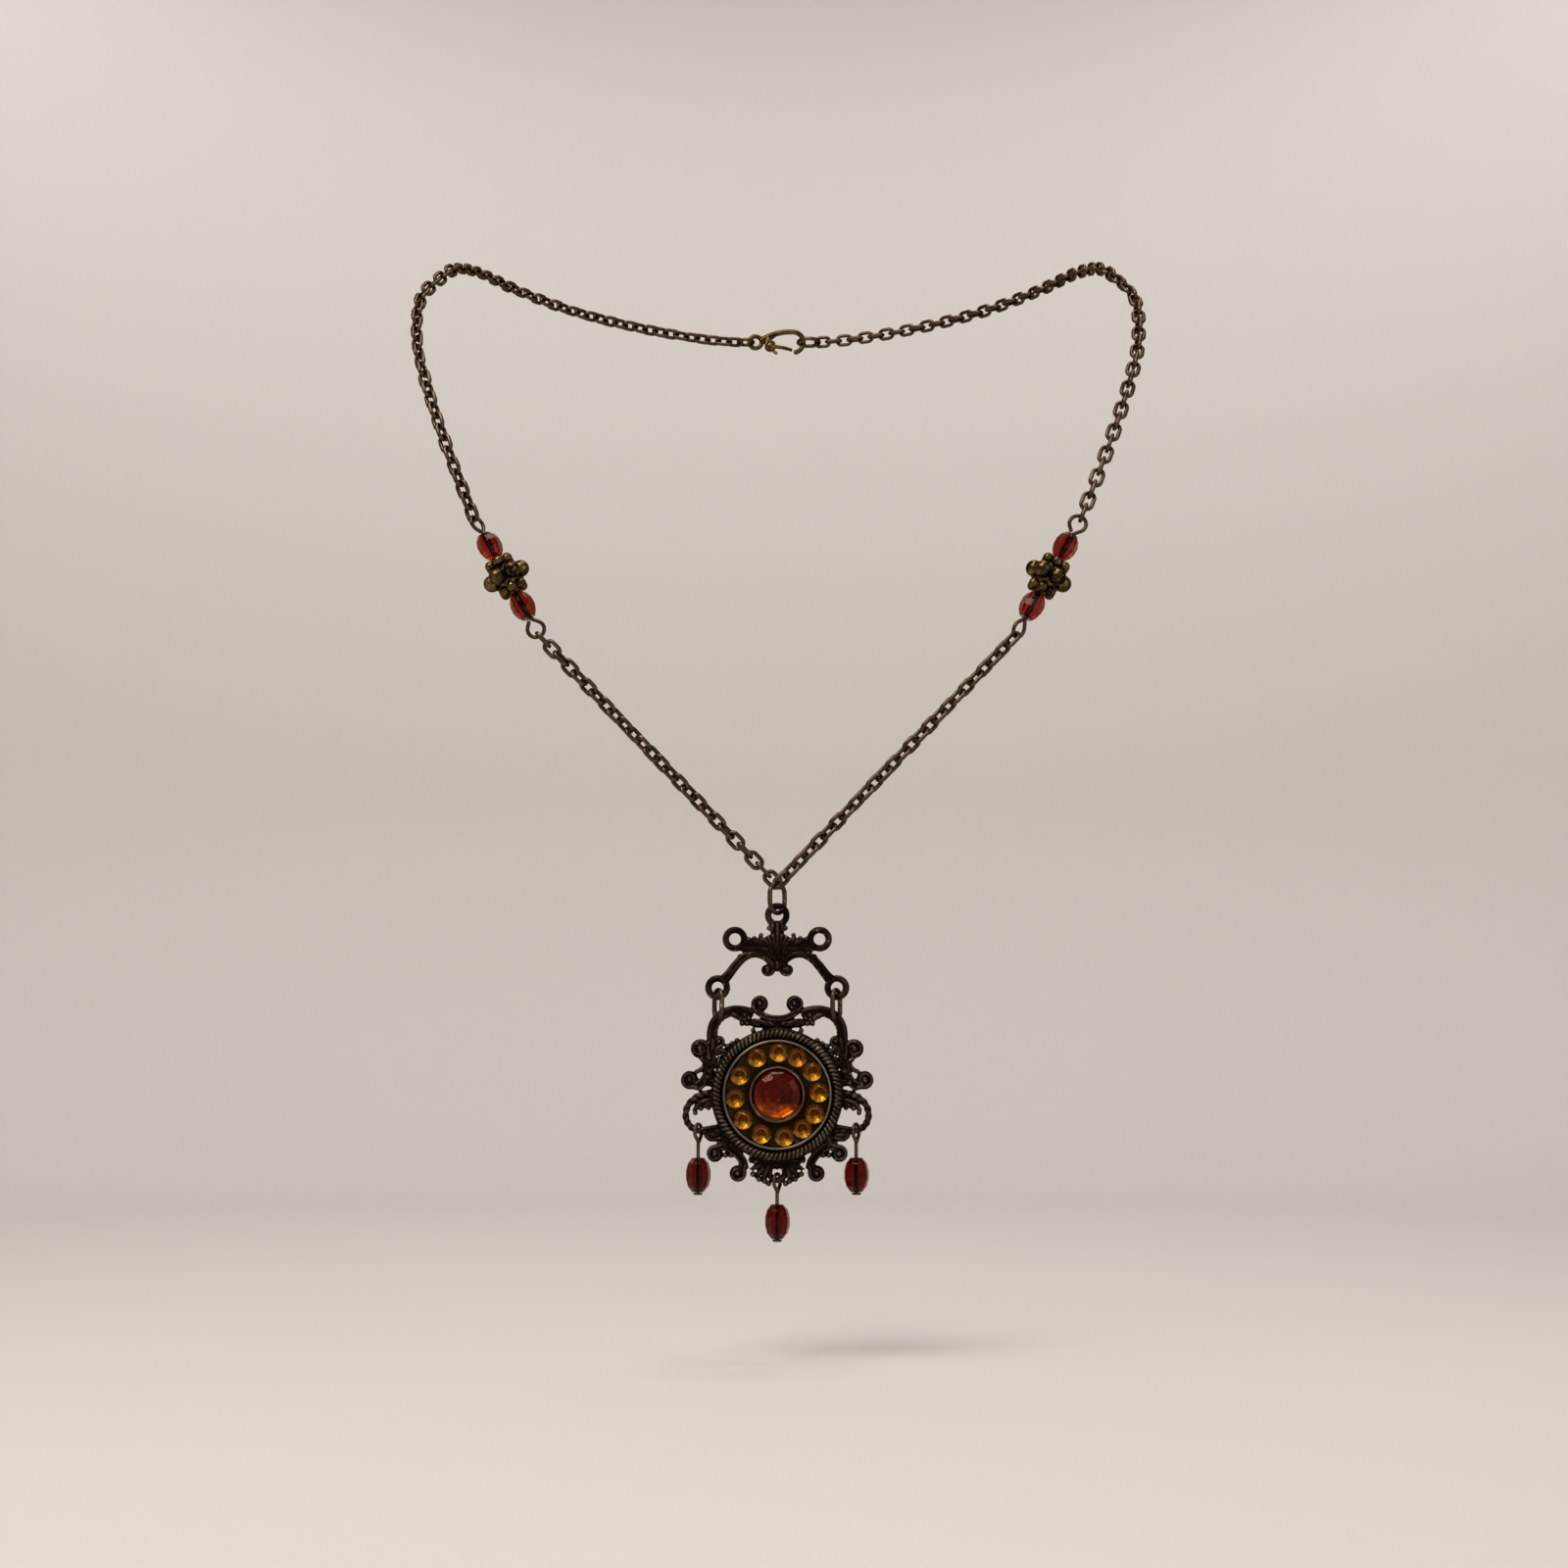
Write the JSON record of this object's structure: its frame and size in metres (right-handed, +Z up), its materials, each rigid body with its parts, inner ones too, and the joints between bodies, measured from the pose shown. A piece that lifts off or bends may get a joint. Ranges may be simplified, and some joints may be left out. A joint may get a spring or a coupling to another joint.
{
  "type": "pendant necklace",
  "caption": "Cable-chain necklace with beaded stations and a hinged crown connector carrying a filigree medallion, set with glass stones and hung with faceted drops.",
  "frame": {"origin": "middle of the neck loop, level with the tops of the shoulders, where a neck carries the chain", "axes": "+Z up, +X to the viewer's right, -Y out of the pendant's face"},
  "size_m": [0.1306, 0.0825, 0.1824],
  "materials": {
    "bronze": "antiqued, satin",
    "dark_wire": "darkened, polished on the highs",
    "brass": "antiqued, satin",
    "garnet": "polished facets",
    "amber": "foiled back, polished",
    "centre_stone": "foiled back, polished"
  },
  "bodies": {
    "neck_chain": {"neck_chain_left": "dark_wire", "neck_chain_right": "dark_wire", "clasp_ring": "dark_wire", "clasp_body": "brass", "clasp_rivet": "brass", "end_ring": "dark_wire"},
    "clasp_lever": {"clasp_lever": "brass"},
    "left_station": {"station_pin_left": "dark_wire"},
    "right_station": {"station_pin_right": "dark_wire"},
    "front_chains": {"front_chain_left": "dark_wire", "front_chain_right": "dark_wire"},
    "pendant_ring": {"pendant_ring": "dark_wire"},
    "crown": {"crown": "bronze"},
    "left_connector": {"connector_ring_left": "dark_wire"},
    "right_connector": {"connector_ring_right": "dark_wire"},
    "medallion": {"medallion_frame": "bronze", "rope_border": "bronze", "stone_tray": "bronze", "centre_bezel": "bronze", "centre_stone": "centre_stone", "amber_stone_01": "amber", "amber_stone_02": "amber", "amber_stone_03": "amber", "amber_stone_04": "amber", "amber_stone_05": "amber", "amber_stone_06": "amber", "amber_stone_07": "amber", "amber_stone_08": "amber", "amber_stone_09": "amber", "amber_stone_10": "amber", "amber_stone_11": "amber", "amber_stone_12": "amber"},
    "left_drop": {"headpin_left": "dark_wire"},
    "left_drop_bead": {"drop_bead_left": "garnet"},
    "right_drop": {"headpin_right": "dark_wire"},
    "right_drop_bead": {"drop_bead_right": "garnet"},
    "centre_drop": {"headpin_centre": "dark_wire"},
    "centre_drop_bead": {"drop_bead_centre": "garnet"},
    "left_station_upper_bead": {"station_left_upper_bead": "garnet"},
    "left_station_spacer": {"station_left_spacer": "brass"},
    "left_station_lower_bead": {"station_left_lower_bead": "garnet"},
    "right_station_upper_bead": {"station_right_upper_bead": "garnet"},
    "right_station_spacer": {"station_right_spacer": "brass"},
    "right_station_lower_bead": {"station_right_lower_bead": "garnet"}
  },
  "joints": [
    {"name": "clasp_lever_hinge", "type": "hinge", "parent": "neck_chain", "child": "clasp_lever", "pos_m": [-0.0018, 0.038, 0.0035], "axis": [0, -1, 0], "range_deg": [0, 28], "stiffness_Nm_per_rad": 0.01, "springref_deg": -20.05},
    {"name": "front_swing", "type": "hinge", "parent": "neck_chain", "child": "left_station", "pos_m": [-0.0513, -0.038, -0.0557], "axis": [-1, 0, 0], "range_deg": [-8, 30]},
    {"name": "right_station_swing", "type": "hinge", "parent": "neck_chain", "child": "right_station", "pos_m": [0.0513, -0.038, -0.0557], "axis": [-1, 0, 0], "range_deg": [-8, 30]},
    {"name": "front_chain_swing", "type": "hinge", "parent": "left_station", "child": "front_chains", "pos_m": [-0.0397, -0.038, -0.0763], "axis": [-1, 0, 0], "range_deg": [-10, 15]},
    {"name": "pendant_sway", "type": "hinge", "parent": "front_chains", "child": "pendant_ring", "pos_m": [0, -0.038, -0.1177], "axis": [0, -1, 0], "range_deg": [-20, 20]},
    {"name": "crown_nod", "type": "hinge", "parent": "pendant_ring", "child": "crown", "pos_m": [0, -0.038, -0.12264], "axis": [-1, 0, 0], "range_deg": [-12, 12]},
    {"name": "connector_swing", "type": "hinge", "parent": "crown", "child": "left_connector", "pos_m": [-0.0096, -0.038, -0.1363], "axis": [-1, 0, 0], "range_deg": [-20, 25]},
    {"name": "right_connector_swing", "type": "hinge", "parent": "crown", "child": "right_connector", "pos_m": [0.0096, -0.038, -0.1363], "axis": [-1, 0, 0], "range_deg": [-20, 25]},
    {"name": "medallion_swing", "type": "hinge", "parent": "left_connector", "child": "medallion", "pos_m": [-0.0096, -0.038, -0.1384], "axis": [-1, 0, 0], "range_deg": [-15, 30]},
    {"name": "left_drop_swing", "type": "hinge", "parent": "medallion", "child": "left_drop", "pos_m": [-0.0127, -0.038, -0.1577], "axis": [-1, 0, 0], "range_deg": [-20, 30]},
    {"name": "left_drop_bead_spin", "type": "hinge", "parent": "left_drop", "child": "left_drop_bead", "pos_m": [-0.0127, -0.038, -0.1657], "axis": [0, 0, 1], "continuous": true},
    {"name": "right_drop_swing", "type": "hinge", "parent": "medallion", "child": "right_drop", "pos_m": [0.0127, -0.038, -0.1577], "axis": [-1, 0, 0], "range_deg": [-20, 30]},
    {"name": "right_drop_bead_spin", "type": "hinge", "parent": "right_drop", "child": "right_drop_bead", "pos_m": [0.0127, -0.038, -0.1657], "axis": [0, 0, 1], "continuous": true},
    {"name": "centre_drop_swing", "type": "hinge", "parent": "medallion", "child": "centre_drop", "pos_m": [0, -0.038, -0.16555], "axis": [-1, 0, 0], "range_deg": [-20, 30]},
    {"name": "centre_drop_bead_spin", "type": "hinge", "parent": "centre_drop", "child": "centre_drop_bead", "pos_m": [0, -0.038, -0.17355], "axis": [0, 0, 1], "continuous": true},
    {"name": "left_station_upper_bead_spin", "type": "hinge", "parent": "left_station", "child": "left_station_upper_bead", "pos_m": [-0.0513, -0.038, -0.0557], "axis": [-0.4907, 0, 0.8713], "continuous": true},
    {"name": "left_station_spacer_spin", "type": "hinge", "parent": "left_station", "child": "left_station_spacer", "pos_m": [-0.0513, -0.038, -0.0557], "axis": [-0.4907, 0, 0.8713], "continuous": true},
    {"name": "left_station_lower_bead_spin", "type": "hinge", "parent": "left_station", "child": "left_station_lower_bead", "pos_m": [-0.0513, -0.038, -0.0557], "axis": [-0.4907, 0, 0.8713], "continuous": true},
    {"name": "right_station_upper_bead_spin", "type": "hinge", "parent": "right_station", "child": "right_station_upper_bead", "pos_m": [0.0513, -0.038, -0.0557], "axis": [0.4907, 0, 0.8713], "continuous": true},
    {"name": "right_station_spacer_spin", "type": "hinge", "parent": "right_station", "child": "right_station_spacer", "pos_m": [0.0513, -0.038, -0.0557], "axis": [0.4907, 0, 0.8713], "continuous": true},
    {"name": "right_station_lower_bead_spin", "type": "hinge", "parent": "right_station", "child": "right_station_lower_bead", "pos_m": [0.0513, -0.038, -0.0557], "axis": [0.4907, 0, 0.8713], "continuous": true}
  ],
  "couplings": [
    {"joint": "right_station_swing", "follows": "front_swing", "ratio": 1},
    {"joint": "right_connector_swing", "follows": "connector_swing", "ratio": 1}
  ]
}
